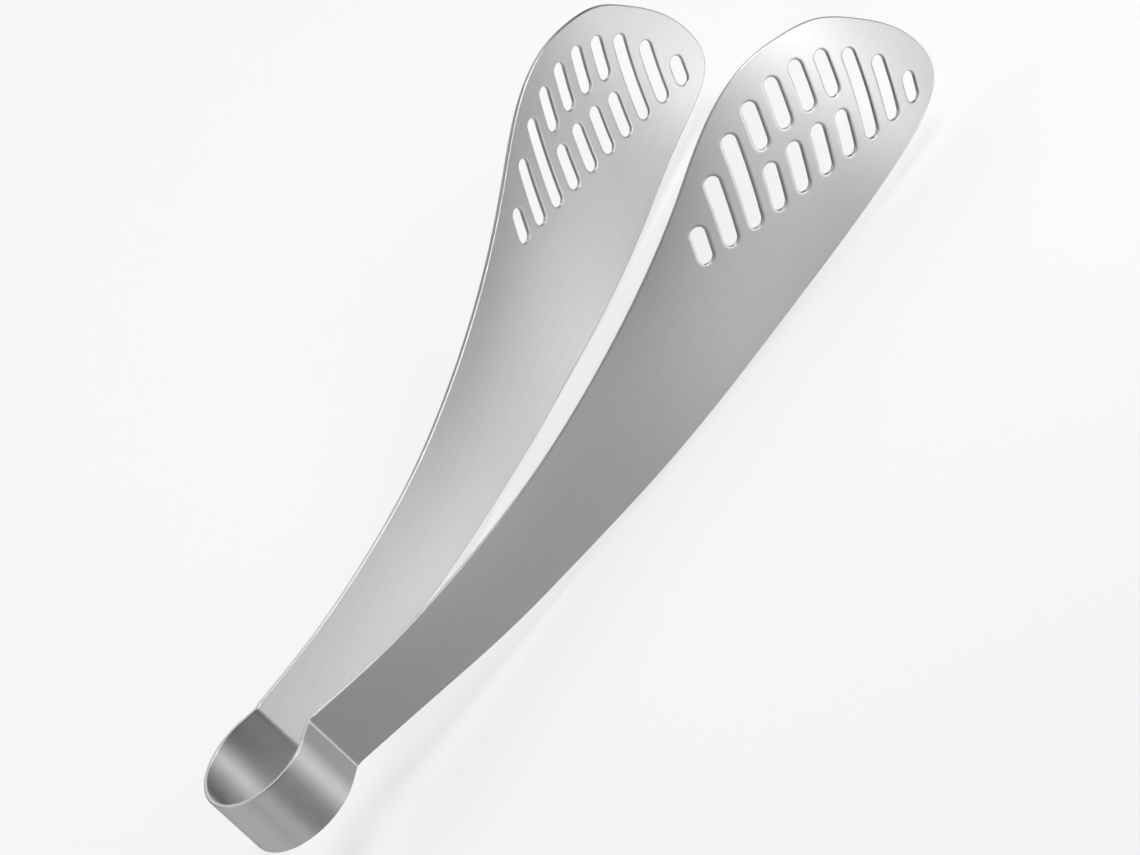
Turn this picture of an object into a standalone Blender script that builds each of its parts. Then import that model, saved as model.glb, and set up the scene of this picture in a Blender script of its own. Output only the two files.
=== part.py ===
"""Steel tongs bent from one strip: a round spring bow and two dished arms with slotted heads.

The tongs point along +X and open along Y. The strip's width stands along Z, and the tongs
lie on the long lower rims of the two arms. Metres. The origin is under the middle of the
whole object, on the surface that it lies on.

Drawing frame: everything is drawn with the centre of the bow at zero, and moved at the end.
"""
import math

import bmesh
import bpy
import numpy as np
from mathutils import Matrix, Vector

# Sheet and strip
SHEET = 0.0012               # thickness of the steel
STRIP_WIDTH = 0.0188         # width round the bow and at the necks
NECK_GAP = 0.0003            # clearance between an arm and the end of the bow

# Bow
BOW_RADIUS = 0.01525         # to the middle of the sheet
ROUND_END = math.radians(62)     # where the round part stops, seen from +X
SHOULDER = 0.0049            # straight run from the round part to the neck crease
CREASE_RADIUS = 0.0022       # bend at the neck, to the middle of the sheet
STUB = 0.0007                # straight end past the crease, where the arm begins

# Arms
ARM_LENGTH = 0.2227          # from the neck crease to the tip, along X
ARM_SPREAD = 0.0360          # how much further out the arm gets than its neck
HEAD_WIDTH = 0.0555          # over the widest part of the slotted head
DISH_RADIUS = 0.0526         # of the hollow across the arm, where it is tightest

# Middle of the sheet seen from above: share of ARM_LENGTH, share of ARM_SPREAD
ARM_LINE_SHARES = (
    (0.0, 0.0), (0.15, 0.157), (0.33, 0.348), (0.51, 0.575),
    (0.66, 0.753), (0.79, 0.903), (0.92, 1.0), (1.0, 0.988),
)
# Tightness of the hollow: share of ARM_LENGTH, share of 1 / DISH_RADIUS
DISH_SHARES = ((0.0, 0.0), (0.25, 0.63), (0.51, 1.0), (0.76, 0.61), (1.0, 0.55))
# Deepest line of the hollow: share of ARM_LENGTH, height as a share of HEAD_WIDTH
DISH_LINE_SHARES = (
    (0.0, 0.0), (0.22, -0.138), (0.34, -0.164), (0.56, -0.104),
    (0.78, 0.072), (0.91, 0.030), (1.0, -0.025),
)
# Rim from the top of the neck round the head to the bottom of the neck, as the line above
RIM_SHARES = (
    (0.110, 0.096), (0.224, 0.058), (0.337, 0.061), (0.450, 0.119), (0.564, 0.227),
    (0.677, 0.389), (0.774, 0.541), (0.846, 0.562), (0.888, 0.517), (0.931, 0.429),
    (0.966, 0.265), (0.995, 0.041), (0.991, -0.224), (0.925, -0.331), (0.870, -0.357),
    (0.774, -0.398), (0.677, -0.422), (0.564, -0.431), (0.450, -0.422), (0.337, -0.389),
    (0.224, -0.337), (0.110, -0.249),
)

# Slots of the head, in parallel columns that lean forwards
SLOT_WIDTH = 0.0041
SLOT_LEAN = math.radians(26)     # from upright towards the tip
SLOT_RIB = 0.0037                # bridge that halves a long column
SLOT_COLUMNS = 10
# Foot of the first and the last column: share of ARM_LENGTH, height as a share of HEAD_WIDTH
FIRST_FOOT_SHARES = (0.652, 0.095)
LAST_FOOT_SHARES = (0.9485, -0.223)
LONGEST_COLUMN_SHARE = 0.55      # its length as a share of HEAD_WIDTH
SPLIT_SHARE = 0.87               # columns longer than this share of the longest are halved
PATTERN_MIDDLE_SHARE = 0.492     # longest column, as a share of the pattern's reach
PATTERN_END_SHARE = 0.589        # where the length would fade to nothing, from the middle
FADE_POWER = 2.12                # how full the pattern's outline is

# Fineness
BOW_STEP = math.radians(5)
CREASE_STEPS = 5
RIM_STEPS = 150
SLOT_END_STEPS = 8
FACE_LENGTH = 0.0056             # of the sheet's faces along the arm
FACE_WIDTH = 0.0052              # of the sheet's faces across the arm

STEEL_COLOUR = (0.60, 0.59, 0.57, 1.0)
STEEL_ROUGHNESS = 0.34
SIDES = {"left": 1, "right": -1}


def clear_scene():
    for thing in list(bpy.data.objects):
        bpy.data.objects.remove(thing, do_unlink=True)


def make_collection(name):
    collection = bpy.data.collections.new(name)
    bpy.context.scene.collection.children.link(collection)
    return collection


def brushed_steel(name):
    """Bare satin steel, for one piece."""
    material = bpy.data.materials.new(name)
    material.use_nodes = True
    shader = material.node_tree.nodes["Principled BSDF"]
    shader.inputs["Base Color"].default_value = STEEL_COLOUR
    shader.inputs["Metallic"].default_value = 1.0
    shader.inputs["Roughness"].default_value = STEEL_ROUGHNESS
    return material


def smooth_line(points):
    """A natural spline: the second value of the points as a smooth function of the first."""
    knots, values = np.array(points, dtype=float).T
    step = np.diff(knots)
    rise = np.diff(values) / step
    rows = np.eye(len(knots))
    turn = np.zeros(len(knots))
    for i in range(1, len(knots) - 1):
        rows[i, i - 1:i + 2] = step[i - 1], 2 * (step[i - 1] + step[i]), step[i]
        turn[i] = 6 * (rise[i] - rise[i - 1])
    bend = np.linalg.solve(rows, turn)

    def value(at):
        i = int(np.clip(np.searchsorted(knots, at) - 1, 0, len(step) - 1))
        before = at - knots[i]
        after = knots[i + 1] - at
        cubic = (bend[i] * after ** 3 + bend[i + 1] * before ** 3) / (6 * step[i])
        start = (values[i] / step[i] - bend[i] * step[i] / 6) * after
        end = (values[i + 1] / step[i] - bend[i + 1] * step[i] / 6) * before
        return float(cubic + start + end)
    return value


arm_line = smooth_line(ARM_LINE_SHARES)
dish_tightness = smooth_line(DISH_SHARES)
dish_line = smooth_line(DISH_LINE_SHARES)


def crease_place():
    """Where the straight shoulder and the arm would meet without the bend."""
    x = BOW_RADIUS * math.cos(ROUND_END) + SHOULDER * math.sin(ROUND_END)
    y = BOW_RADIUS * math.sin(ROUND_END) - SHOULDER * math.cos(ROUND_END)
    return x, y


CREASE_X, CREASE_Y = crease_place()


def arm_surface(x, z):
    """Distance of the middle of the sheet from the tongs' middle plane."""
    share = (x - CREASE_X) / ARM_LENGTH
    from_deepest = z - HEAD_WIDTH * dish_line(share)
    hollow = dish_tightness(share) * from_deepest ** 2 / (2 * DISH_RADIUS)
    return CREASE_Y + ARM_SPREAD * arm_line(share) - hollow


def surface_slope(x, z):
    """Slope of the sheet along the arm and across it."""
    along = arm_surface(x + SHEET, z) - arm_surface(x - SHEET, z)
    across = arm_surface(x, z + SHEET) - arm_surface(x, z - SHEET)
    return along / (2 * SHEET), across / (2 * SHEET)


NECK_SLOPE = math.atan(surface_slope(CREASE_X, 0)[0])
CREASE_TURN = math.pi / 2 - ROUND_END + NECK_SLOPE
CREASE_TANGENT = CREASE_RADIUS * math.tan(CREASE_TURN / 2)
ARM_START = CREASE_X + (CREASE_TANGENT + STUB + NECK_GAP) * math.cos(NECK_SLOPE)


def half_bow_line():
    """Middle of the sheet from the back of the bow to its left end, seen from above."""
    line = []
    rounds = math.ceil((math.pi - ROUND_END) / BOW_STEP)
    for i in range(rounds + 1):
        angle = math.pi + (ROUND_END - math.pi) * i / rounds
        line.append((BOW_RADIUS * math.cos(angle), BOW_RADIUS * math.sin(angle)))
    heading = ROUND_END - math.pi / 2
    x = CREASE_X - CREASE_TANGENT * math.cos(heading)
    y = CREASE_Y - CREASE_TANGENT * math.sin(heading)
    centre_x = x - CREASE_RADIUS * math.sin(heading)
    centre_y = y + CREASE_RADIUS * math.cos(heading)
    for i in range(CREASE_STEPS + 1):
        angle = heading + CREASE_TURN * i / CREASE_STEPS
        bend_x = centre_x + CREASE_RADIUS * math.sin(angle)
        bend_y = centre_y - CREASE_RADIUS * math.cos(angle)
        line.append((bend_x, bend_y))
    end_x = line[-1][0] + STUB * math.cos(NECK_SLOPE)
    end_y = line[-1][1] + STUB * math.sin(NECK_SLOPE)
    line.append((end_x, end_y))
    return line


def flex_centre():
    """Balance point of the left half of the bow, which its end turns about as it flexes."""
    line = half_bow_line()
    length = moment_x = moment_y = 0
    for (x0, y0), (x1, y1) in zip(line, line[1:]):
        part = math.hypot(x1 - x0, y1 - y0)
        length += part
        moment_x += part * (x0 + x1) / 2
        moment_y += part * (y0 + y1) / 2
    return moment_x / length, moment_y / length


def make_bow(collection):
    """The bow: its line seen from above, raised to the strip's width and thickened."""
    half = half_bow_line()
    line = [(x, -y) for x, y in reversed(half[1:])] + half
    curve = bpy.data.curves.new("spring_bow_line", "CURVE")
    curve.dimensions = "3D"
    curve.extrude = STRIP_WIDTH / 2
    spline = curve.splines.new("POLY")
    spline.points.add(len(line) - 1)
    for point, (x, y) in zip(spline.points, line):
        point.co = (x, y, 0, 1)
    bow = bpy.data.objects.new("spring_bow", curve)
    collection.objects.link(bow)
    wall = bow.modifiers.new("sheet", "SOLIDIFY")
    wall.thickness = SHEET
    wall.offset = 0
    wall.use_even_offset = True
    curve.materials.append(brushed_steel("bow_steel"))
    return bow


def rim_line():
    """The arm's rim in its blank, from the top of the neck round the head and back."""
    points = [(ARM_START, STRIP_WIDTH / 2)]
    for along, height in RIM_SHARES:
        points.append((CREASE_X + along * ARM_LENGTH, height * HEAD_WIDTH))
    points.append((ARM_START, -STRIP_WIDTH / 2))
    run = [0.0]
    for (x0, z0), (x1, z1) in zip(points, points[1:]):
        run.append(run[-1] + math.hypot(x1 - x0, z1 - z0))
    rim_x = smooth_line([(at, x) for at, (x, z) in zip(run, points)])
    rim_z = smooth_line([(at, z) for at, (x, z) in zip(run, points)])
    places = [run[-1] * i / RIM_STEPS for i in range(RIM_STEPS + 1)]
    return [(rim_x(at), rim_z(at)) for at in places]


def slot_places():
    """Middle of each slot along the arm and up it, and the slot's length."""
    places = []
    lean = math.sin(SLOT_LEAN)
    rise = math.cos(SLOT_LEAN)
    first_x, first_z = FIRST_FOOT_SHARES
    last_x, last_z = LAST_FOOT_SHARES
    for column in range(SLOT_COLUMNS):
        share = column / (SLOT_COLUMNS - 1)
        foot_x = CREASE_X + ARM_LENGTH * (first_x + (last_x - first_x) * share)
        foot_z = HEAD_WIDTH * (first_z + (last_z - first_z) * share)
        from_middle = abs(share - PATTERN_MIDDLE_SHARE) / PATTERN_END_SHARE
        full_share = 1 - from_middle ** FADE_POWER
        length = full_share * LONGEST_COLUMN_SHARE * HEAD_WIDTH
        slots = 1
        if full_share > SPLIT_SHARE:
            slots = 2
            length = (length - SLOT_RIB) / 2
        for slot in range(slots):
            up = length / 2 + slot * (length + SLOT_RIB)
            places.append((foot_x + up * lean, foot_z + up * rise, length))
    return places


def slot_line(middle_x, middle_z, length):
    """Outline of one slot: two straight sides and two half-round ends."""
    lean = math.sin(SLOT_LEAN)
    rise = math.cos(SLOT_LEAN)
    radius = SLOT_WIDTH / 2
    straight = length / 2 - radius
    line = []
    for end in (1, -1):
        for i in range(SLOT_END_STEPS + 1):
            angle = math.pi * i / SLOT_END_STEPS
            across = end * radius * math.cos(angle)
            up = end * (straight + radius * math.sin(angle))
            x = middle_x + across * rise + up * lean
            z = middle_z + up * rise - across * lean
            line.append((x, z))
    return line


def make_prism(name, outlines, height, collection):
    """Closed solid of flat outlines, raised to both sides of the blank."""
    curve = bpy.data.curves.new(name, "CURVE")
    curve.dimensions = "2D"
    curve.fill_mode = "BOTH"
    curve.extrude = height / 2
    for outline in outlines:
        spline = curve.splines.new("POLY")
        spline.points.add(len(outline) - 1)
        for point, (x, z) in zip(spline.points, outline):
            point.co = (x, z, 0, 1)
        spline.use_cyclic_u = True
    drawn = bpy.data.objects.new(name, curve)
    bpy.context.scene.collection.objects.link(drawn)
    bpy.context.view_layer.update()
    graph = bpy.context.evaluated_depsgraph_get()
    mesh = bpy.data.meshes.new_from_object(drawn.evaluated_get(graph))
    bpy.data.objects.remove(drawn)
    shape = bmesh.new()
    shape.from_mesh(mesh)
    bmesh.ops.remove_doubles(shape, verts=shape.verts, dist=SHEET / 1000)
    bmesh.ops.recalc_face_normals(shape, faces=shape.faces)
    shape.to_mesh(mesh)
    shape.free()
    prism = bpy.data.objects.new(name, mesh)
    collection.objects.link(prism)
    prism.hide_render = True
    prism.display_type = "WIRE"
    return prism


def make_blank(cutters):
    """The arm's flat blank: a sheet of small faces, cut to the rim and punched."""
    rim = rim_line()
    rim_object = make_prism("rim_cutter", [rim], 3 * SHEET, cutters)
    slots = [slot_line(*place) for place in slot_places()]
    slot_object = make_prism("slot_cutter", slots, 3 * SHEET, cutters)
    low_x = min(x for x, z in rim) - SHEET
    high_x = max(x for x, z in rim) + SHEET
    low_z = min(z for x, z in rim) - SHEET
    high_z = max(z for x, z in rim) + SHEET
    columns = math.ceil((high_x - low_x) / FACE_LENGTH)
    rows = math.ceil((high_z - low_z) / FACE_WIDTH)
    sheet = bmesh.new()
    fit = Matrix.Translation(((low_x + high_x) / 2, (low_z + high_z) / 2, 0))
    fit = fit @ Matrix.Diagonal((high_x - low_x, high_z - low_z, 1, 1))
    bmesh.ops.create_grid(sheet, x_segments=columns, y_segments=rows, size=0.5, matrix=fit)
    mesh = bpy.data.meshes.new("arm_blank")
    sheet.to_mesh(mesh)
    sheet.free()
    blank = bpy.data.objects.new("arm_blank", mesh)
    cutters.objects.link(blank)
    wall = blank.modifiers.new("sheet", "SOLIDIFY")
    wall.thickness = SHEET
    wall.offset = 0
    for name, tool, operation in (
        ("trim", rim_object, "INTERSECT"), ("punch", slot_object, "DIFFERENCE"),
    ):
        cut = blank.modifiers.new(name, "BOOLEAN")
        cut.object = tool
        cut.operation = operation
        cut.solver = "EXACT"
    bpy.context.view_layer.update()
    graph = bpy.context.evaluated_depsgraph_get()
    flat = bpy.data.meshes.new_from_object(blank.evaluated_get(graph))
    bpy.data.objects.remove(blank)
    return flat


def press(mesh, side):
    """Form the flat blank into an arm: bent outwards along it and hollowed across it."""
    for vertex in mesh.vertices:
        x, z, off_middle = vertex.co
        along, across = surface_slope(x, z)
        outwards = Vector((-along, 1, -across)).normalized()
        place = Vector((x, arm_surface(x, z), z)) + off_middle * outwards
        vertex.co = (place.x, side * place.y, place.z)


def make_arm(name, side, blank, pivot, collection):
    """One arm, hung on an empty at the point that it turns about as the bow flexes."""
    mesh = blank.copy()
    mesh.name = name
    press(mesh, side)
    mesh.transform(Matrix.Translation(-pivot.location))
    shape = bmesh.new()
    shape.from_mesh(mesh)
    bmesh.ops.triangulate(shape, faces=shape.faces)
    bmesh.ops.recalc_face_normals(shape, faces=shape.faces)
    shape.to_mesh(mesh)
    shape.free()
    mesh.materials.clear()
    mesh.materials.append(brushed_steel(name + "_steel"))
    mesh.shade_smooth()
    mesh.set_sharp_from_angle(angle=math.radians(40))
    arm = bpy.data.objects.new(name, mesh)
    arm.parent = pivot
    collection.objects.link(arm)
    return arm


def make_pivot(name, side, collection):
    pivot = bpy.data.objects.new(name, None)
    x, y = flex_centre()
    pivot.location = (x, side * y, 0)
    pivot.empty_display_size = STRIP_WIDTH
    collection.objects.link(pivot)
    return pivot


def stand(bow, arms, pivots):
    """Move all from the drawing frame to the middle of the box, with the rims at height 0."""
    bpy.context.view_layer.update()
    corners = [arm.matrix_world @ vertex.co for arm in arms for vertex in arm.data.vertices]
    tip = max(corner.x for corner in corners)
    back = -BOW_RADIUS - SHEET / 2
    lowest = min(corner.z for corner in corners)
    shift = Vector((-(tip + back) / 2, 0, -lowest))
    for thing in [bow] + pivots:
        thing.location += shift
    bpy.context.view_layer.update()


def main():
    clear_scene()
    tongs = make_collection("slotted_tongs")
    cutters = make_collection("cutters")
    bow = make_bow(tongs)
    blank = make_blank(cutters)
    arms = []
    pivots = []
    for word, side in SIDES.items():
        pivot = make_pivot(word + "_flex_centre", side, tongs)
        bpy.context.view_layer.update()
        arms.append(make_arm(word + "_arm", side, blank, pivot, tongs))
        pivots.append(pivot)
    stand(bow, arms, pivots)


main()
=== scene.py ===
"""Looks of the steel tongs: satin strip steel, bent, dished and slotted, on a pale floor.

Metres throughout. The tongs are drawn with the centre of the bow at zero, +X to the tips, the
left arm at +Y and the strip's width along Z, and are then moved to their place in the frame.
An arm starts as a flat blank: x along it, y up its width, z through the sheet.
"""

import math
from collections import namedtuple

import bmesh
import bpy
import numpy as np
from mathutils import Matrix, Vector
from mathutils.geometry import delaunay_2d_cdt


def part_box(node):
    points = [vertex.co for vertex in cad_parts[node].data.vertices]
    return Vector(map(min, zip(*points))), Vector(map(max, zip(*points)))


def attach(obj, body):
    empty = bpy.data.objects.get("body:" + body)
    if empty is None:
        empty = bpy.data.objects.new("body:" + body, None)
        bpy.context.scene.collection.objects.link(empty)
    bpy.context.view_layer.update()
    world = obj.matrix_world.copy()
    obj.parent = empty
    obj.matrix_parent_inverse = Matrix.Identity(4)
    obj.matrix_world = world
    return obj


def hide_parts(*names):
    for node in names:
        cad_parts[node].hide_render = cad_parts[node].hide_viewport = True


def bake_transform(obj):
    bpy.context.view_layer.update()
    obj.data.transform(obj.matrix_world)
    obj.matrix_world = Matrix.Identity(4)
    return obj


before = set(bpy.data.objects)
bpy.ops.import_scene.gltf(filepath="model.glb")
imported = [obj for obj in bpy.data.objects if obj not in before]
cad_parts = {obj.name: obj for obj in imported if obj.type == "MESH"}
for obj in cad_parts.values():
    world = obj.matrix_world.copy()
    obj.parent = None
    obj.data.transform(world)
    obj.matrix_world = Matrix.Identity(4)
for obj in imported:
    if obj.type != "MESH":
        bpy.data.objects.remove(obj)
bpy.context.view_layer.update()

# Sheet and strip
SHEET = 0.0012               # thickness of the steel
STRIP_WIDTH = 0.0188         # width round the bow and at the necks
EDGE_RADIUS = 0.00034        # rounding of the strip's edges
ROLL_WIDTH = 0.00075         # how far the punched side of a slot's edge is rolled over
ROLL_DEPTH = 0.00017
BACK_ROLL_WIDTH = 0.00050    # the same on the other side, where the burr was tumbled off
BACK_ROLL_DEPTH = 0.00016

# Bow
BOW_RADIUS = 0.01525         # to the middle of the sheet
ROUND_END = math.radians(62)     # where the round part stops, seen from +X
SHOULDER = 0.0049            # straight run from the round part to the neck crease
CREASE_RADIUS = 0.0022       # bend at the neck, to the middle of the sheet
NECK = 0.0010                # straight end past the crease, up to the arm

# Arms
ARM_LENGTH = 0.2227          # from the neck crease to the tip, along X
ARM_SPREAD = 0.0360          # how much further out the arm gets than its neck
HEAD_WIDTH = 0.0555          # over the widest part of the slotted head
DISH_RADIUS = 0.0526         # of the hollow across the arm, where it is tightest
SIDES = {"left": 1, "right": -1}

# Middle of the sheet seen from above: share of ARM_LENGTH, share of ARM_SPREAD
ARM_LINE_SHARES = (
    (0.0, 0.0), (0.15, 0.157), (0.33, 0.348), (0.51, 0.575),
    (0.66, 0.753), (0.79, 0.903), (0.92, 1.0), (1.0, 0.988),
)
# Tightness of the hollow: share of ARM_LENGTH, share of 1 / DISH_RADIUS
DISH_SHARES = ((0.0, 0.0), (0.25, 0.63), (0.51, 1.0), (0.76, 0.61), (1.0, 0.55))
# Deepest line of the hollow: share of ARM_LENGTH, height as a share of HEAD_WIDTH
DISH_LINE_SHARES = (
    (0.0, 0.0), (0.22, -0.138), (0.34, -0.164), (0.56, -0.104),
    (0.78, 0.072), (0.91, 0.030), (1.0, -0.025),
)
# Rim from the top of the neck round the head to the bottom of the neck, as the line above
RIM_SHARES = (
    (0.110, 0.096), (0.224, 0.058), (0.337, 0.061), (0.450, 0.119), (0.564, 0.227),
    (0.677, 0.389), (0.774, 0.541), (0.846, 0.562), (0.888, 0.517), (0.931, 0.429),
    (0.966, 0.265), (0.995, 0.041), (0.991, -0.224), (0.925, -0.331), (0.870, -0.357),
    (0.774, -0.398), (0.677, -0.422), (0.564, -0.431), (0.450, -0.422), (0.337, -0.389),
    (0.224, -0.337), (0.110, -0.249),
)

# Slots of the head, in parallel columns that lean forwards
SLOT_WIDTH = 0.0041
SLOT_LEAN = math.radians(26)     # from upright towards the tip
SLOT_RIB = 0.0037                # bridge that halves a long column
SLOT_COLUMNS = 10
FIRST_FOOT_SHARES = (0.652, 0.095)       # of ARM_LENGTH and of HEAD_WIDTH
LAST_FOOT_SHARES = (0.9485, -0.223)
LONGEST_COLUMN_SHARE = 0.55      # its length as a share of HEAD_WIDTH
SPLIT_SHARE = 0.87               # columns longer than this share of the longest are halved
PATTERN_MIDDLE_SHARE = 0.492     # longest column, as a share of the pattern's reach
PATTERN_END_SHARE = 0.589        # where the length would fade to nothing, from the middle
FADE_POWER = 2.12                # how full the pattern's outline is

# Fineness of the meshes
FACE_SIZE = 0.0013               # of the sheet's faces
FACE_CLEARANCE = 0.55            # share of that which is kept free beside a rim or slot
RIM_SPACING = 0.0009
SLOT_SPACING = 0.00045
SLOT_ARC_POINTS = 48             # of the ring that a slot's two ends are halves of
EDGE_STEPS = 6                   # over a rounded edge
BOW_STEP = math.radians(1.5)
CREASE_STEPS = 14
WELD = 0.000002                  # points closer than this are one
EDGE_FACING = 0.75               # edges that lean further from the sheet have the cut finish

# Finish of the sheet, the rims that were tumbled smooth and the sheared walls of the slots (dark
# partly from the cut, partly painted shade)
STEEL_COLOUR = (0.546, 0.543, 0.536)
STEEL_ROUGHNESS = 0.56
RIM_COLOUR = (0.38, 0.377, 0.372)
RIM_ROUGHNESS = 0.38
# slot walls: darker partly as duller cut steel, partly as painted shade in the slots
SLOT_COLOUR_AND_PAINTED_SHADE = (0.34, 0.337, 0.332)
SLOT_ROUGHNESS = 0.58
BRUSHING = 0.93                  # how much the brush lines stretch a highlight across them
BRUSHING_TURN = 0.25             # full turns from along the strip to across it
BRUSH_TILT = math.radians(5)     # of the brush lines from the strip's own direction
BRUSH_GRIT = 0.6                 # strength of the finer lines within a brush line

# What varies over a finish. Size is that of the patches, or the length and width of the lines,
# and levels is how many finer sizes come with it. Shade (as a share of the colour), roughness
# and height (in metres) are how far it changes each of them.
Layer = namedtuple("Layer", "size levels shade roughness height", defaults=(0, 0, 0))
BRUSH_LINES = (
    Layer((0.007, 0.00022), 2, shade=0.04, height=0.000003),
    Layer((0.022, 0.0010), 3, shade=0.08, roughness=0.05, height=0.000006),
)
SHEET_PATCHES = (
    Layer(0.008, 3, shade=0.03, roughness=0.04),     # left by the forming and polishing
    Layer(0.011, 1, height=0.00002),                 # waves of the rolled sheet
)
CUT_PATCHES = (
    Layer(0.003, 2, shade=0.08, roughness=0.06),
    Layer(0.0003, 2, shade=0.06, height=0.000004),   # grain of the cut
)

# Floor and surroundings
FLOOR_SIZE = 200                 # wide enough for its edge to lie near the horizon
FLOOR_COLOUR = (0.73, 0.73, 0.73, 1)
FLOOR_ROUGHNESS = 0.9
FLOOR_WHITENESS = 0.6            # share of plain white in the floor that is seen
SURROUNDINGS = (0.08, 0.08, 0.08, 1)

# Softboxes: place, the point they are aimed at, width, spread in degrees and power in watts.
# A spread below 180 is a box with a grid, which keeps its light off the floor beside it.
TONGS_MIDDLE = (0, 0, 0.03)
TONGS_TIPS = (0.125, 0, 0.03)
LAMPS = {
    "over_heads": ((0.98, -0.57, 2.15), TONGS_MIDDLE, 1.2, 180, 37),
    "by_tips": ((0.30, -0.50, 0.35), TONGS_TIPS, 0.2, 44, 0.113),
    "by_grip": ((0.10, -0.55, 0.30), TONGS_MIDDLE, 0.25, 80, 0.076),
    "behind": ((0.62, 1.22, 0.88), TONGS_MIDDLE, 1.1, 180, 7.5),
    "high_behind": ((-0.48, 0.85, 1.51), TONGS_MIDDLE, 0.9, 180, 4.6),
    "behind_left": ((-0.92, 0.98, 0.90), TONGS_MIDDLE, 0.9, 180, 3.3),
    "behind_bow": ((-1.34, 0.24, 0.88), TONGS_MIDDLE, 0.9, 180, 3.8),
    "low_before_bow": ((-1.36, -0.78, 0.36), TONGS_MIDDLE, 0.7, 100, 0.97),
}

# Camera
CAMERA_LENS = 179.85             # millimetres
CAMERA_SENSOR = 36               # millimetres
CAMERA_PLACE = (-0.4227, -1.1244, 0.7375)
CAMERA_TURN = (49.68, 37.03, -47.97)     # degrees about X, Y and Z
CAMERA_NEAR = 0.1                # nothing closer than this is drawn


# Lines and surfaces

def smooth_line(points):
    """A natural spline: the second value of the points as a smooth function of the first."""
    knots, values = np.array(points, dtype=float).T
    step = np.diff(knots)
    rise = np.diff(values) / step
    rows = np.eye(len(knots))
    turn = np.zeros(len(knots))
    for i in range(1, len(knots) - 1):
        rows[i, i - 1:i + 2] = step[i - 1], 2 * (step[i - 1] + step[i]), step[i]
        turn[i] = 6 * (rise[i] - rise[i - 1])
    bend = np.linalg.solve(rows, turn)

    def value(at):
        i = np.clip(np.searchsorted(knots, at) - 1, 0, len(step) - 1)
        before = at - knots[i]
        after = knots[i + 1] - at
        cubic = (bend[i] * after ** 3 + bend[i + 1] * before ** 3) / (6 * step[i])
        start = (values[i] / step[i] - bend[i] * step[i] / 6) * after
        end = (values[i + 1] / step[i] - bend[i + 1] * step[i] / 6) * before
        return cubic + start + end
    return value


def run_along(points):
    """How far each point is from the first, along the line that joins them."""
    steps = np.linalg.norm(np.diff(points, axis=0), axis=1)
    return np.append(0, np.cumsum(steps))


arm_line = smooth_line(ARM_LINE_SHARES)
dish_tightness = smooth_line(DISH_SHARES)
dish_line = smooth_line(DISH_LINE_SHARES)

CREASE_X = BOW_RADIUS * math.cos(ROUND_END) + SHOULDER * math.sin(ROUND_END)
CREASE_Y = BOW_RADIUS * math.sin(ROUND_END) - SHOULDER * math.cos(ROUND_END)


def arm_surface(x, z):
    """Distance of the middle of the sheet from the tongs' middle plane."""
    share = (x - CREASE_X) / ARM_LENGTH
    from_deepest = z - HEAD_WIDTH * dish_line(share)
    hollow = dish_tightness(share) * from_deepest ** 2 / (2 * DISH_RADIUS)
    return CREASE_Y + ARM_SPREAD * arm_line(share) - hollow


def surface_slopes(x, z):
    """Slope of the sheet along the arm and across it."""
    along = arm_surface(x + SHEET, z) - arm_surface(x - SHEET, z)
    across = arm_surface(x, z + SHEET) - arm_surface(x, z - SHEET)
    return along / (2 * SHEET), across / (2 * SHEET)


NECK_SLOPE = math.atan(surface_slopes(CREASE_X, 0)[0])
CREASE_TURN = math.pi / 2 - ROUND_END + NECK_SLOPE
CREASE_TANGENT = CREASE_RADIUS * math.tan(CREASE_TURN / 2)
ARM_START = CREASE_X + (CREASE_TANGENT + NECK) * math.cos(NECK_SLOPE)

bow_low, bow_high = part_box("spring_bow")
BOW_CENTRE = np.array((
    bow_low.x + BOW_RADIUS + SHEET / 2, 0, (bow_low.z + bow_high.z) / 2,
))


# Node trees

def node(tree, kind, inputs, **settings):
    """One node. Each input, by its name or its place, takes a value or another output."""
    made = tree.nodes.new(kind)
    for setting, value in settings.items():
        setattr(made, setting, value)
    for place, value in inputs.items():
        socket = made.inputs[place]
        if isinstance(value, bpy.types.NodeSocket):
            tree.links.new(value, socket)
        else:
            socket.default_value = value
    return made.outputs[0]


def calc(tree, operation, *values):
    """A sum on numbers."""
    return node(tree, "ShaderNodeMath", dict(enumerate(values)), operation=operation)


def vector_calc(tree, operation, *values):
    """A sum on vectors."""
    return node(tree, "ShaderNodeVectorMath", dict(enumerate(values)), operation=operation)


def scaled(tree, vector, factor):
    """A vector or colour times a number."""
    inputs = {"Vector": vector, "Scale": factor}
    return node(tree, "ShaderNodeVectorMath", inputs, operation="SCALE")


def new_tree(name, inputs):
    """A node tree that changes geometry, and its named inputs."""
    tree = bpy.data.node_groups.new(name, "GeometryNodeTree")
    sockets = tree.interface
    sockets.new_socket("Geometry", in_out="OUTPUT", socket_type="NodeSocketGeometry")
    sockets.new_socket("Geometry", in_out="INPUT", socket_type="NodeSocketGeometry")
    for label, kind in inputs.items():
        sockets.new_socket(label, in_out="INPUT", socket_type="NodeSocket" + kind)
    entry = tree.nodes.new("NodeGroupInput")
    return tree, {socket.name: socket for socket in entry.outputs}


def marked(tree, geometry, name, value):
    """Keeps a number on each point under a name."""
    inputs = {"Geometry": geometry, "Name": name, "Value": value}
    return node(tree, "GeometryNodeStoreNamedAttribute", inputs, domain="POINT")


def drawn_section(tree, drawn):
    """The section that an object draws, as a curve."""
    info = tree.nodes.new("GeometryNodeObjectInfo")
    tree.links.new(drawn, info.inputs["Object"])
    return node(tree, "GeometryNodeMeshToCurve", {"Mesh": info.outputs["Geometry"]})


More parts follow.
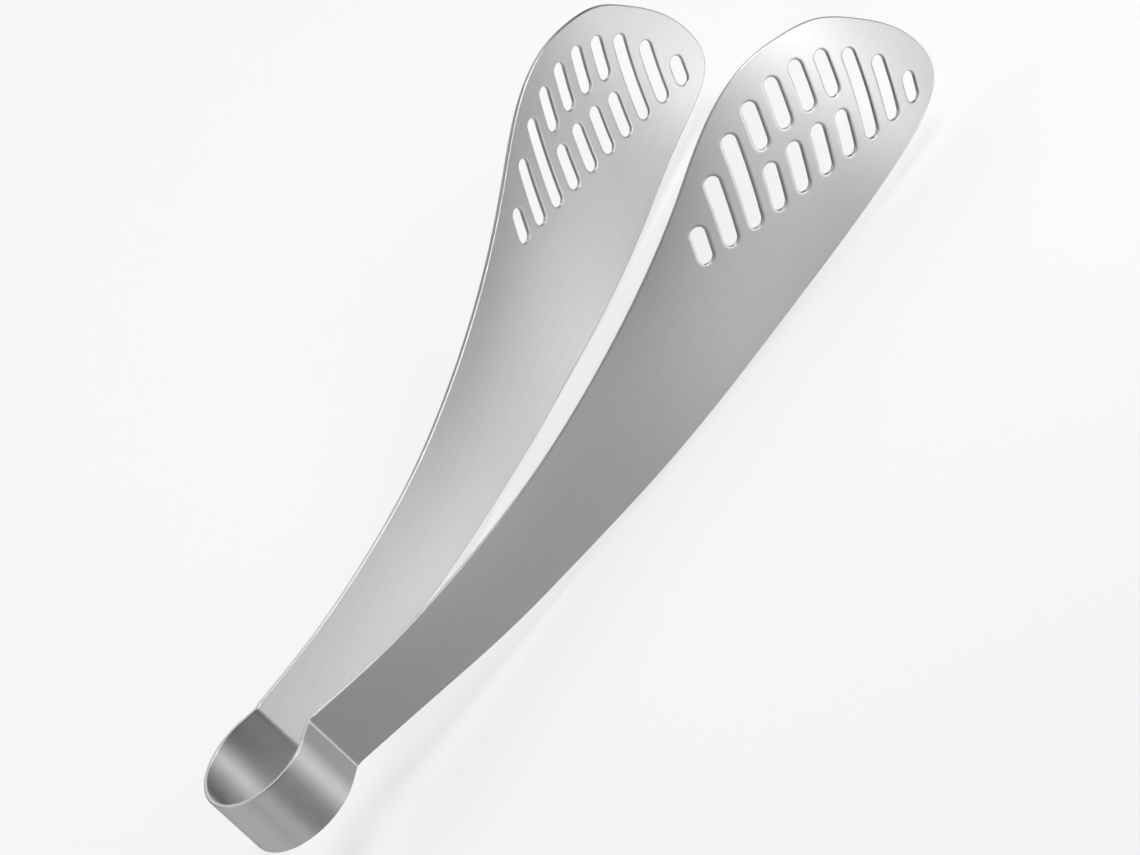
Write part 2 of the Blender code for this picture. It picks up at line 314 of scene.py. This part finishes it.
def sweep(tree, path, section, material, caps):
    """The tree's end: a section carried along flat curves, as one plain mesh."""
    upright = node(tree, "GeometryNodeSetCurveNormal", {"Curve": path}, mode="Z_UP")
    inputs = {"Curve": upright, "Profile Curve": section, "Fill Caps": caps}
    strip = node(tree, "GeometryNodeCurveToMesh", inputs)
    plain = node(tree, "GeometryNodeRealizeInstances", {"Geometry": strip})
    steel = node(tree, "GeometryNodeSetMaterial", {"Geometry": plain, "Material": material})
    end = tree.nodes.new("NodeGroupOutput")
    tree.links.new(steel, end.inputs[0])


def edge_tree():
    """Carries an edge's section along an outline that is drawn as a chain of points."""
    tree, given = new_tree("strip_edge", {"Section": "Object", "Material": "Material"})
    outline = node(tree, "GeometryNodeMeshToCurve", {"Mesh": given["Geometry"]})
    section = drawn_section(tree, given["Section"])
    sweep(tree, outline, section, given["Material"], False)
    return tree


def strip_tree():
    """Carries the strip's rounded cross-section along its bent line."""
    tree, given = new_tree("bent_strip", {
        "Width": "Float", "Thickness": "Float", "Edge Radius": "Float", "Edge Steps": "Int",
        "Material": "Material",
    })
    line = node(tree, "GeometryNodeMeshToCurve", {"Mesh": given["Geometry"]})
    place = tree.nodes.new("GeometryNodeSplineParameter").outputs["Length"]
    line = marked(tree, line, "along", place)
    inputs = {"Width": given["Thickness"], "Height": given["Width"]}
    section = node(tree, "GeometryNodeCurvePrimitiveQuadrilateral", inputs)
    inputs = {"Curve": section, "Radius": given["Edge Radius"], "Count": given["Edge Steps"]}
    section = node(tree, "GeometryNodeFilletCurve", inputs, mode="POLY")
    sweep(tree, line, section, given["Material"], True)
    return tree


def slot_rule(tree, given):
    """The rule of the pattern, which numbers two slots from the foot of each column.

    Gives each slot's column as a share of the row, the slot's length, how far up the column
    its middle lies, and whether it is spare: the second one is, unless the column is split.
    """
    index = node(tree, "GeometryNodeInputIndex", {})
    column = calc(tree, "FLOOR", calc(tree, "DIVIDE", index, 2.0))
    upper = calc(tree, "MODULO", index, 2.0)
    share = calc(tree, "DIVIDE", column, calc(tree, "SUBTRACT", given["Columns"], 1.0))
    off = calc(tree, "ABSOLUTE", calc(tree, "SUBTRACT", share, given["Middle Share"]))
    off = calc(tree, "DIVIDE", off, given["End Share"])
    full = calc(tree, "SUBTRACT", 1.0, calc(tree, "POWER", off, given["Fade Power"]))
    split = calc(tree, "GREATER_THAN", full, given["Split Share"])
    whole = calc(tree, "MULTIPLY", full, given["Longest"])
    half = calc(tree, "DIVIDE", calc(tree, "SUBTRACT", whole, given["Rib"]), 2.0)
    shorter = calc(tree, "MULTIPLY", split, calc(tree, "SUBTRACT", half, whole))
    length = calc(tree, "ADD", whole, shorter)
    above = calc(tree, "MULTIPLY", upper, calc(tree, "ADD", length, given["Rib"]))
    up = calc(tree, "ADD", calc(tree, "DIVIDE", length, 2.0), above)
    spare = calc(tree, "GREATER_THAN", upper, split)
    return share, length, up, spare


def slot_middles(tree, given, leaning, radius):
    """A point in the middle of each slot, marked with half of its straight length."""
    share, length, up, spare = slot_rule(tree, given)
    row = vector_calc(tree, "SUBTRACT", given["Last Foot"], given["First Foot"])
    foot = vector_calc(tree, "ADD", given["First Foot"], scaled(tree, row, share))
    middle = vector_calc(tree, "ADD", foot, scaled(tree, leaning, up))
    count = calc(tree, "MULTIPLY", given["Columns"], 2.0)
    points = node(tree, "GeometryNodePoints", {"Count": count, "Position": middle})
    straight = calc(tree, "SUBTRACT", calc(tree, "DIVIDE", length, 2.0), radius)
    points = marked(tree, points, "straight", straight)
    inputs = {"Geometry": points, "Selection": spare}
    return node(tree, "GeometryNodeDeleteGeometry", inputs, domain="POINT")


def slot_ring(tree, radius):
    """A ring for a slot's two ends, its points marked 1 for the upper end and -1 for the foot.

    It is turned by half a step, so that no point lies between the ends.
    """
    inputs = {"Resolution": SLOT_ARC_POINTS, "Radius": radius}
    ring = node(tree, "GeometryNodeCurvePrimitiveCircle", inputs)
    inputs = {"Geometry": ring, "Rotation": (0, 0, math.pi / SLOT_ARC_POINTS)}
    ring = node(tree, "GeometryNodeTransform", inputs)
    place = node(tree, "GeometryNodeInputPosition", {})
    apart = tree.nodes.new("ShaderNodeSeparateXYZ")
    tree.links.new(place, apart.inputs[0])
    return marked(tree, ring, "end", calc(tree, "SIGN", apart.outputs["Y"]))


def slot_tree():
    """Draws the slots by their rule, each as a closed outline, and gives them their edge."""
    tree, given = new_tree("slot_pattern", {
        "Columns": "Int", "First Foot": "Vector", "Last Foot": "Vector", "Lean": "Float",
        "Width": "Float", "Longest": "Float", "Rib": "Float", "Split Share": "Float",
        "Middle Share": "Float", "End Share": "Float", "Fade Power": "Float",
        "Spacing": "Float", "Section": "Object", "Material": "Material",
    })
    inputs = {
        "X": calc(tree, "SINE", given["Lean"]), "Y": calc(tree, "COSINE", given["Lean"]),
    }
    leaning = node(tree, "ShaderNodeCombineXYZ", inputs)
    inputs = {"Z": calc(tree, "MULTIPLY", given["Lean"], -1.0)}
    turn = node(tree, "ShaderNodeCombineXYZ", inputs)
    radius = calc(tree, "DIVIDE", given["Width"], 2.0)
    points = slot_middles(tree, given, leaning, radius)
    inputs = {"Points": points, "Instance": slot_ring(tree, radius), "Rotation": turn}
    rings = node(tree, "GeometryNodeInstanceOnPoints", inputs)
    rings = node(tree, "GeometryNodeRealizeInstances", {"Geometry": rings})
    end = node(tree, "GeometryNodeInputNamedAttribute", {"Name": "end"})
    straight = node(tree, "GeometryNodeInputNamedAttribute", {"Name": "straight"})
    offset = scaled(tree, leaning, calc(tree, "MULTIPLY", end, straight))
    slots = node(tree, "GeometryNodeSetPosition", {"Geometry": rings, "Offset": offset})
    inputs = {"Curve": slots, "Length": given["Spacing"]}
    slots = node(tree, "GeometryNodeResampleCurve", inputs, mode="LENGTH")
    sweep(tree, slots, drawn_section(tree, given["Section"]), given["Material"], False)
    return tree


def chain(name, points):
    """Points joined one after the other, as an object."""
    mesh = bpy.data.meshes.new(name)
    mesh.from_pydata(points, [(i, i + 1) for i in range(len(points) - 1)], [])
    drawn = bpy.data.objects.new(name, mesh)
    bpy.context.scene.collection.objects.link(drawn)
    return drawn


def grown(drawn, tree, values):
    """The plain mesh that a tree makes from an object, which is then removed."""
    modifier = drawn.modifiers.new(tree.name, "NODES")
    modifier.node_group = tree
    for socket in tree.interface.items_tree:
        if socket.in_out == "INPUT" and socket.name in values:
            modifier[socket.identifier] = values[socket.name]
    graph = bpy.context.evaluated_depsgraph_get()
    mesh = bpy.data.meshes.new_from_object(drawn.evaluated_get(graph))
    drawn.modifiers.remove(modifier)
    bpy.data.objects.remove(drawn)
    return mesh


# Pieces of both sides

# The left one of a pair of pieces: its mesh, the places and normals of its points, how far each
# normal goes with the sheet's own (facing, up to 1), and where each point lies on the flat strip.
Form = namedtuple("Form", "mesh places normals facing strip")


def vertex_array(mesh):
    """The places of a mesh's points."""
    places = np.empty(len(mesh.vertices) * 3)
    mesh.vertices.foreach_get("co", places)
    return places.reshape(-1, 3)


def make_piece(name, form, side, finishes):
    """One side's piece, mirrored for the right, in its place in the frame.

    Faces that lean away from the sheet are cut edges. They take the second finish, or the
    third where the mesh gives them number 1, and all others the first.
    """
    mesh = form.mesh.copy()
    mesh.name = name
    mirror = np.array((1, side, 1))
    mesh.vertices.foreach_set("co", (form.places * mirror + BOW_CENTRE).ravel())
    if side < 0:
        mesh.flip_normals()
    strip = mesh.uv_layers.new(name="strip")
    corners = [loop.vertex_index for loop in mesh.loops]
    strip.data.foreach_set("uv", form.strip[corners].ravel())
    mesh.materials.clear()
    for finish in finishes:
        mesh.materials.append(finish)
    for face in mesh.polygons:
        leaning = form.facing[list(face.vertices)].mean() < EDGE_FACING
        face.material_index = face.material_index + 1 if leaning else 0
    mesh.shade_smooth()
    mesh.normals_split_custom_set_from_vertices(form.normals * mirror)
    piece = bpy.data.objects.new(name, mesh)
    bpy.context.scene.collection.objects.link(piece)
    return piece


# Arms

def corner(width, depth, side):
    """Rounded corner of an edge: distance into the sheet, height through it, from the face."""
    points = []
    for i in range(EDGE_STEPS + 1):
        angle = math.pi / 2 * i / EDGE_STEPS
        into = width * (1 - math.sin(angle))
        through = side * (SHEET / 2 - depth * (1 - math.cos(angle)))
        points.append((into, through))
    return points


def edge_section(name, points):
    """Draws a section from its distances into the sheet and heights through it."""
    return chain(name, [(into, -through, 0) for into, through in points])


def rim_section():
    """The rim, rounded on both sides, out to the width that the slots' edges have."""
    upper = [(ROLL_WIDTH, SHEET / 2)] + corner(EDGE_RADIUS, EDGE_RADIUS, 1)
    lower = [(into, -through) for into, through in upper]
    return edge_section("rim_section", upper + lower[::-1])


def slot_section():
    """A punched edge: rolled in widely on the outer face and less on the inner face."""
    outer = corner(ROLL_WIDTH, ROLL_DEPTH, 1)
    inner = [(ROLL_WIDTH, -SHEET / 2)] + corner(BACK_ROLL_WIDTH, BACK_ROLL_DEPTH, -1)
    return edge_section("slot_section", outer + inner[::-1])


def rim_line():
    """The arm's rim in its blank, from the top of the neck round the head and back."""
    points = [(ARM_START, STRIP_WIDTH / 2)]
    for along, height in RIM_SHARES:
        points.append((CREASE_X + along * ARM_LENGTH, height * HEAD_WIDTH))
    points.append((ARM_START, -STRIP_WIDTH / 2))
    points = np.array(points)
    run = run_along(points)
    places = np.linspace(0, run[-1], math.ceil(run[-1] / RIM_SPACING))
    rim_x = smooth_line(np.c_[run, points[:, 0]])(places)
    rim_y = smooth_line(np.c_[run, points[:, 1]])(places)
    return [(x, y, 0) for x, y in zip(rim_x, rim_y)]


def inside(points, starts, ends):
    """Whether each flat point has an odd number of outline edges to its right."""
    x, y = points[:, :1], points[:, 1:]
    above_start = starts[:, 1] > y
    above_end = ends[:, 1] > y
    rise = ends[:, 1] - starts[:, 1]
    rise = np.where(rise == 0, 1, rise)      # level edges are never crossed
    slope = (ends[:, 0] - starts[:, 0]) / rise
    crossing = starts[:, 0] + (y - starts[:, 1]) * slope
    return ((above_start != above_end) & (x < crossing)).sum(axis=1) % 2 == 1


def face_outline(shape):
    """Outline of a face of the sheet: the inner limits of its edges, closed at the neck.

    Gives its points and the pairs of them that its lines join.
    """
    ring = []
    for edge in shape.edges:
        ends = [vertex.co for vertex in edge.verts]
        at_neck = all(end.x < ARM_START + WELD for end in ends)
        if edge.is_boundary and not at_neck and all(end.z > 0 for end in ends):
            ring.append(edge)
    corners = list(dict.fromkeys(vertex for edge in ring for vertex in edge.verts))
    place = {vertex: i for i, vertex in enumerate(corners)}
    outline = np.array([vertex.co.xy for vertex in corners])
    lines = [tuple(place[vertex] for vertex in edge.verts) for edge in ring]
    neck = [i for i, (x, y) in enumerate(outline) if x < ARM_START + WELD]
    neck.sort(key=lambda i: outline[i][1])
    steps = math.ceil(STRIP_WIDTH / FACE_SIZE)
    neck_y = np.linspace(outline[neck[0]][1], outline[neck[-1]][1], steps + 1)[1:-1]
    first = len(outline)
    outline = np.concatenate([outline, np.c_[np.full(len(neck_y), ARM_START), neck_y]])
    row = [neck[0]] + list(range(first, len(outline))) + [neck[-1]]
    return outline, lines + list(zip(row, row[1:]))


def face_points(outline, starts, ends):
    """Points in staggered rows over the blank, clear of its edges."""
    low, high = outline.min(axis=0), outline.max(axis=0)
    row_step = FACE_SIZE * math.sin(math.radians(60))
    rows = []
    for i, y in enumerate(np.arange(low[1], high[1], row_step)):
        row_x = np.arange(low[0] + FACE_SIZE / 2 * (i % 2), high[0], FACE_SIZE)
        rows.append(np.c_[row_x, np.full(len(row_x), y)])
    points = np.concatenate(rows)
    points = points[inside(points, starts, ends)]
    nearest = [np.linalg.norm(outline - point, axis=1).min() for point in points]
    return points[np.array(nearest) > FACE_SIZE * FACE_CLEARANCE]


def fill_faces(shape):
    """Both faces of the blank, between the inner limits of its edges."""
    outline, lines = face_outline(shape)
    starts = outline[[start for start, end in lines]]
    ends = outline[[end for start, end in lines]]
    points = np.concatenate([outline, face_points(outline, starts, ends)])
    flat, _, triangles, *_ = delaunay_2d_cdt(
        [Vector(point) for point in points], lines, [], 0, WELD / 10,
    )
    triangles = np.array(triangles)
    middles = np.array(flat)[triangles].mean(axis=1)
    triangles = triangles[inside(middles, starts, ends)]
    for height in (SHEET / 2, -SHEET / 2):
        layer = [shape.verts.new((x, y, height)) for x, y in flat]
        for triangle in triangles:
            turned = triangle if height > 0 else triangle[::-1]
            shape.faces.new([layer[i] for i in turned])


def slot_values():
    """The sizes of the slot pattern, for its tree."""
    first_x, first_y = FIRST_FOOT_SHARES
    last_x, last_y = LAST_FOOT_SHARES
    return {
        "Columns": SLOT_COLUMNS,
        "First Foot": (CREASE_X + first_x * ARM_LENGTH, first_y * HEAD_WIDTH, 0),
        "Last Foot": (CREASE_X + last_x * ARM_LENGTH, last_y * HEAD_WIDTH, 0),
        "Lean": SLOT_LEAN,
        "Width": SLOT_WIDTH,
        "Longest": LONGEST_COLUMN_SHARE * HEAD_WIDTH,
        "Rib": SLOT_RIB,
        "Split Share": SPLIT_SHARE,
        "Middle Share": PATTERN_MIDDLE_SHARE,
        "End Share": PATTERN_END_SHARE,
        "Fade Power": FADE_POWER,
        "Spacing": SLOT_SPACING,
    }


def make_blank(material):
    """The arm's flat blank: rounded rim, rolled slot edges (number 1), and both faces."""
    sections = rim_section(), slot_section()
    rim_values = {"Section": sections[0], "Material": material}
    rim = grown(chain("rim", rim_line()), edge_tree(), rim_values)
    edge_values = {"Section": sections[1], "Material": material}
    slots = grown(chain("slots", [(0, 0, 0)]), slot_tree(), slot_values() | edge_values)
    for section in sections:
        bpy.data.objects.remove(section)
    for face in slots.polygons:
        face.material_index = 1
    shape = bmesh.new()
    shape.from_mesh(rim)
    shape.from_mesh(slots)
    for vertex in shape.verts:
        vertex.co.x = max(vertex.co.x, ARM_START)
    fill_faces(shape)
    bmesh.ops.remove_doubles(shape, verts=shape.verts, dist=WELD)
    loose = [vertex for vertex in shape.verts if not vertex.link_faces]
    bmesh.ops.delete(shape, geom=loose, context="VERTS")
    open_end = [edge for edge in shape.edges if edge.is_boundary]
    bmesh.ops.contextual_create(shape, geom=open_end)
    bmesh.ops.recalc_face_normals(shape, faces=shape.faces)
    blank = bpy.data.meshes.new("arm_blank")
    shape.to_mesh(blank)
    shape.free()
    return blank


def press(flat):
    """Forms blank points into the left arm: their places and the sheet's outer normals."""
    x, z, off_middle = flat.T
    along, across = surface_slopes(x, z)
    outwards = np.c_[-along, np.ones(len(x)), -across]
    outwards /= np.linalg.norm(outwards, axis=1)[:, None]
    return np.c_[x, arm_surface(x, z), z] + off_middle[:, None] * outwards, outwards


def skin_normals(mesh):
    """The points' normals, without the many-sided face that closes the neck."""
    shape = bmesh.new()
    shape.from_mesh(mesh)
    ends = [face for face in shape.faces if len(face.verts) > 4]
    bmesh.ops.delete(shape, geom=ends, context="FACES_ONLY")
    shape.normal_update()
    normals = np.array([vertex.normal for vertex in shape.verts])
    shape.free()
    return normals


def form_arm(material):
    """The left arm, pressed from its blank. Its two faces keep the smooth sheet's normals."""
    blank = make_blank(material)
    flat = vertex_array(blank)
    facing = np.abs(skin_normals(blank)[:, 2])
    places, outwards = press(flat)
    blank.vertices.foreach_set("co", places.ravel())
    blank.flip_normals()     # width and thickness changed places, which turned it inside out
    blank.update()
    normals = skin_normals(blank)
    outer = np.abs(flat[:, 2] - SHEET / 2) < WELD
    inner = np.abs(flat[:, 2] + SHEET / 2) < WELD
    normals[outer] = outwards[outer]
    normals[inner] = -outwards[inner]
    facing[outer | inner] = 1
    return Form(blank, places, normals, facing, flat[:, :2])


def make_arms(finishes):
    """Both arms. Each rides on its own body."""
    form = form_arm(finishes[0])
    for word, side in SIDES.items():
        arm = make_piece(word + "_arm_blade", form, side, finishes)
        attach(arm, word + "_arm")
        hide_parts(word + "_arm")


# Bow

def half_bow_line():
    """Middle of the sheet from the back of the bow to the left arm, and its heading."""
    line = []
    rounds = math.ceil((math.pi - ROUND_END) / BOW_STEP)
    for i in range(rounds + 1):
        angle = math.pi + (ROUND_END - math.pi) * i / rounds
        x, y = BOW_RADIUS * math.cos(angle), BOW_RADIUS * math.sin(angle)
        line.append((x, y, angle - math.pi / 2))
    heading = ROUND_END - math.pi / 2
    x = CREASE_X - CREASE_TANGENT * math.cos(heading)
    y = CREASE_Y - CREASE_TANGENT * math.sin(heading)
    centre_x = x - CREASE_RADIUS * math.sin(heading)
    centre_y = y + CREASE_RADIUS * math.cos(heading)
    for i in range(CREASE_STEPS + 1):
        angle = heading + CREASE_TURN * i / CREASE_STEPS
        bend_x = centre_x + CREASE_RADIUS * math.sin(angle)
        bend_y = centre_y - CREASE_RADIUS * math.cos(angle)
        line.append((bend_x, bend_y, angle))
    line.append((ARM_START, arm_surface(ARM_START, 0), NECK_SLOPE))
    return np.array(line)


def form_bow(material):
    """The left half of the bow. Its normals follow the bend and the rounded edges."""
    line = half_bow_line()
    drawn = chain("bow_line", [(x, y, 0) for x, y, heading in line])
    mesh = grown(drawn, strip_tree(), {
        "Width": STRIP_WIDTH, "Thickness": SHEET, "Edge Radius": EDGE_RADIUS,
        "Edge Steps": EDGE_STEPS, "Material": material,
    })
    places = vertex_array(mesh)
    along = np.empty(len(places))
    mesh.attributes["along"].data.foreach_get("value", along)
    run = run_along(line[:, :2])
    middle = np.c_[np.interp(along, run, line[:, 0]), np.interp(along, run, line[:, 1])]
    heading = np.interp(along, run, line[:, 2])
    outwards = np.c_[-np.sin(heading), np.cos(heading), np.zeros(len(places))]
    through = ((places[:, :2] - middle) * outwards[:, :2]).sum(axis=1)
    flat_sheet = SHEET / 2 - EDGE_RADIUS
    flat_width = STRIP_WIDTH / 2 - EDGE_RADIUS
    lean_out = through - np.clip(through, -flat_sheet, flat_sheet)
    lean_up = places[:, 2] - np.clip(places[:, 2], -flat_width, flat_width)
    normals = outwards * lean_out[:, None]
    normals[:, 2] = lean_up
    normals /= np.linalg.norm(normals, axis=1)[:, None]
    facing = np.abs((normals * outwards).sum(axis=1))
    strip = np.c_[ARM_START + along - run[-1], places[:, 2]]
    return Form(mesh, places, normals, facing, strip)


def make_bow(finishes):
    """Both halves of the bow, each running from the bow's back to the neck of its arm."""
    form = form_bow(finishes[0])
    for word, side in SIDES.items():
        half = make_piece(word + "_bow_half", form, side, finishes)
        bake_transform(half)
        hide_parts("spring_bow")


# Materials

def new_material(name):
    """A material, its node tree and its shader."""
    material = bpy.data.materials.new(name)
    material.use_nodes = True
    tree = material.node_tree
    return material, tree, tree.nodes["Principled BSDF"]


def line_noise(tree, layer):
    """Noise drawn out into brush lines along the strip, from 0 to 1."""
    strip = node(tree, "ShaderNodeUVMap", {}, uv_map="strip")
    inputs = {"Vector": strip, "Rotation": (0, 0, BRUSH_TILT), "Scale": (*layer.size, 1)}
    place = node(tree, "ShaderNodeMapping", inputs, vector_type="TEXTURE")
    inputs = {"Vector": place, "Scale": 1.0, "Detail": layer.levels, "Roughness": BRUSH_GRIT}
    return node(tree, "ShaderNodeTexNoise", inputs)


def patch_noise(tree, layer):
    """Soft noise of one size all over the object, from 0 to 1."""
    place = tree.nodes.new("ShaderNodeTexCoord").outputs["Object"]
    inputs = {"Vector": place, "Scale": 1 / layer.size, "Detail": layer.levels}
    return node(tree, "ShaderNodeTexNoise", inputs)


def mapped(tree, value, low, high):
    """A number from 0 to 1 brought to a range."""
    inputs = {"Value": value, "To Min": low, "To Max": high}
    return node(tree, "ShaderNodeMapRange", inputs)


def bare_steel(name, colour, roughness, lines, patches):
    """Steel that varies with its brush lines and patches, and shines across the lines."""
    material, tree, shader = new_material(name)
    layers = [(line_noise(tree, layer), layer) for layer in lines]
    layers += [(patch_noise(tree, layer), layer) for layer in patches]
    shade = 1.0
    rough = roughness
    height = 0.0
    for noise, layer in layers:
        if layer.shade:
            change = mapped(tree, noise, 1 - layer.shade, 1 + layer.shade)
            shade = calc(tree, "MULTIPLY", shade, change)
        if layer.roughness:
            change = mapped(tree, noise, -layer.roughness, layer.roughness)
            rough = calc(tree, "ADD", rough, change)
        if layer.height:
            height = calc(tree, "MULTIPLY_ADD", noise, layer.height, height)
    tree.links.new(scaled(tree, colour, shade), shader.inputs["Base Color"])
    tree.links.new(rough, shader.inputs["Roughness"])
    bump = node(tree, "ShaderNodeBump", {"Height": height, "Distance": 1.0})
    tree.links.new(bump, shader.inputs["Normal"])
    shader.inputs["Metallic"].default_value = 1.0
    if lines:
        tangent = node(tree, "ShaderNodeTangent", {}, direction_type="UV_MAP", uv_map="strip")
        tree.links.new(tangent, shader.inputs["Tangent"])
        shader.inputs["Anisotropic"].default_value = BRUSHING
        shader.inputs["Anisotropic Rotation"].default_value = BRUSHING_TURN
    return material


def pale_floor():
    """White paper: what is seen of it, also in the steel, is brought nearer to white."""
    material, tree, shader = new_material("pale_floor")
    shader.inputs["Base Color"].default_value = FLOOR_COLOUR
    shader.inputs["Roughness"].default_value = FLOOR_ROUGHNESS
    rays = tree.nodes.new("ShaderNodeLightPath").outputs
    seen = calc(tree, "ADD", rays["Is Camera Ray"], rays["Is Glossy Ray"])
    seen = calc(tree, "ADD", seen, rays["Is Transmission Ray"])
    share = calc(tree, "MULTIPLY", calc(tree, "MINIMUM", seen, 1.0), FLOOR_WHITENESS)
    white = node(tree, "ShaderNodeEmission", {"Color": (1, 1, 1, 1), "Strength": 1.0})
    paper = node(tree, "ShaderNodeMixShader", {0: share, 1: shader.outputs[0], 2: white})
    tree.links.new(paper, tree.nodes["Material Output"].inputs["Surface"])
    return material


# Studio

def make_floor():
    """The surface that the tongs lie on."""
    bpy.ops.mesh.primitive_plane_add(size=FLOOR_SIZE)
    floor = bpy.context.object
    floor.name = "floor"
    floor.data.materials.append(pale_floor())


def make_lamps():
    """The softboxes. They light the steel and are seen in it, but not by the camera."""
    for name, (place, aim, width, spread, power) in LAMPS.items():
        lamp = bpy.data.lights.new(name, "AREA")
        lamp.size = width
        lamp.spread = math.radians(spread)
        lamp.energy = power
        thing = bpy.data.objects.new(name, lamp)
        bpy.context.scene.collection.objects.link(thing)
        thing.location = place
        heading = Vector(aim) - Vector(place)
        thing.rotation_euler = heading.to_track_quat("-Z", "Y").to_euler()
        thing.visible_camera = False


def make_camera():
    """The view of the photograph."""
    camera = bpy.data.cameras.new("camera")
    camera.lens = CAMERA_LENS
    camera.sensor_width = CAMERA_SENSOR
    camera.clip_start = CAMERA_NEAR
    camera.clip_end = FLOOR_SIZE
    thing = bpy.data.objects.new("camera", camera)
    bpy.context.scene.collection.objects.link(thing)
    thing.location = CAMERA_PLACE
    thing.rotation_euler = [math.radians(turn) for turn in CAMERA_TURN]
    bpy.context.scene.camera = thing


def make_surroundings():
    """A dim, even light from all round."""
    world = bpy.data.worlds.new("studio")
    bpy.context.scene.world = world
    world.use_nodes = True
    world.node_tree.nodes["Background"].inputs["Color"].default_value = SURROUNDINGS


finishes = (
    bare_steel("satin_steel", STEEL_COLOUR, STEEL_ROUGHNESS, BRUSH_LINES, SHEET_PATCHES),
    bare_steel("rim_steel", RIM_COLOUR, RIM_ROUGHNESS, (), CUT_PATCHES),
    # slot walls: a darker colour that is partly cut steel and partly painted shade
    bare_steel("slot_wall_and_painted_shade", SLOT_COLOUR_AND_PAINTED_SHADE, SLOT_ROUGHNESS, (), CUT_PATCHES),
)
make_arms(finishes)
make_bow(finishes)
make_floor()
make_lamps()
make_camera()
make_surroundings()
bpy.context.scene.view_settings.view_transform = "Standard"
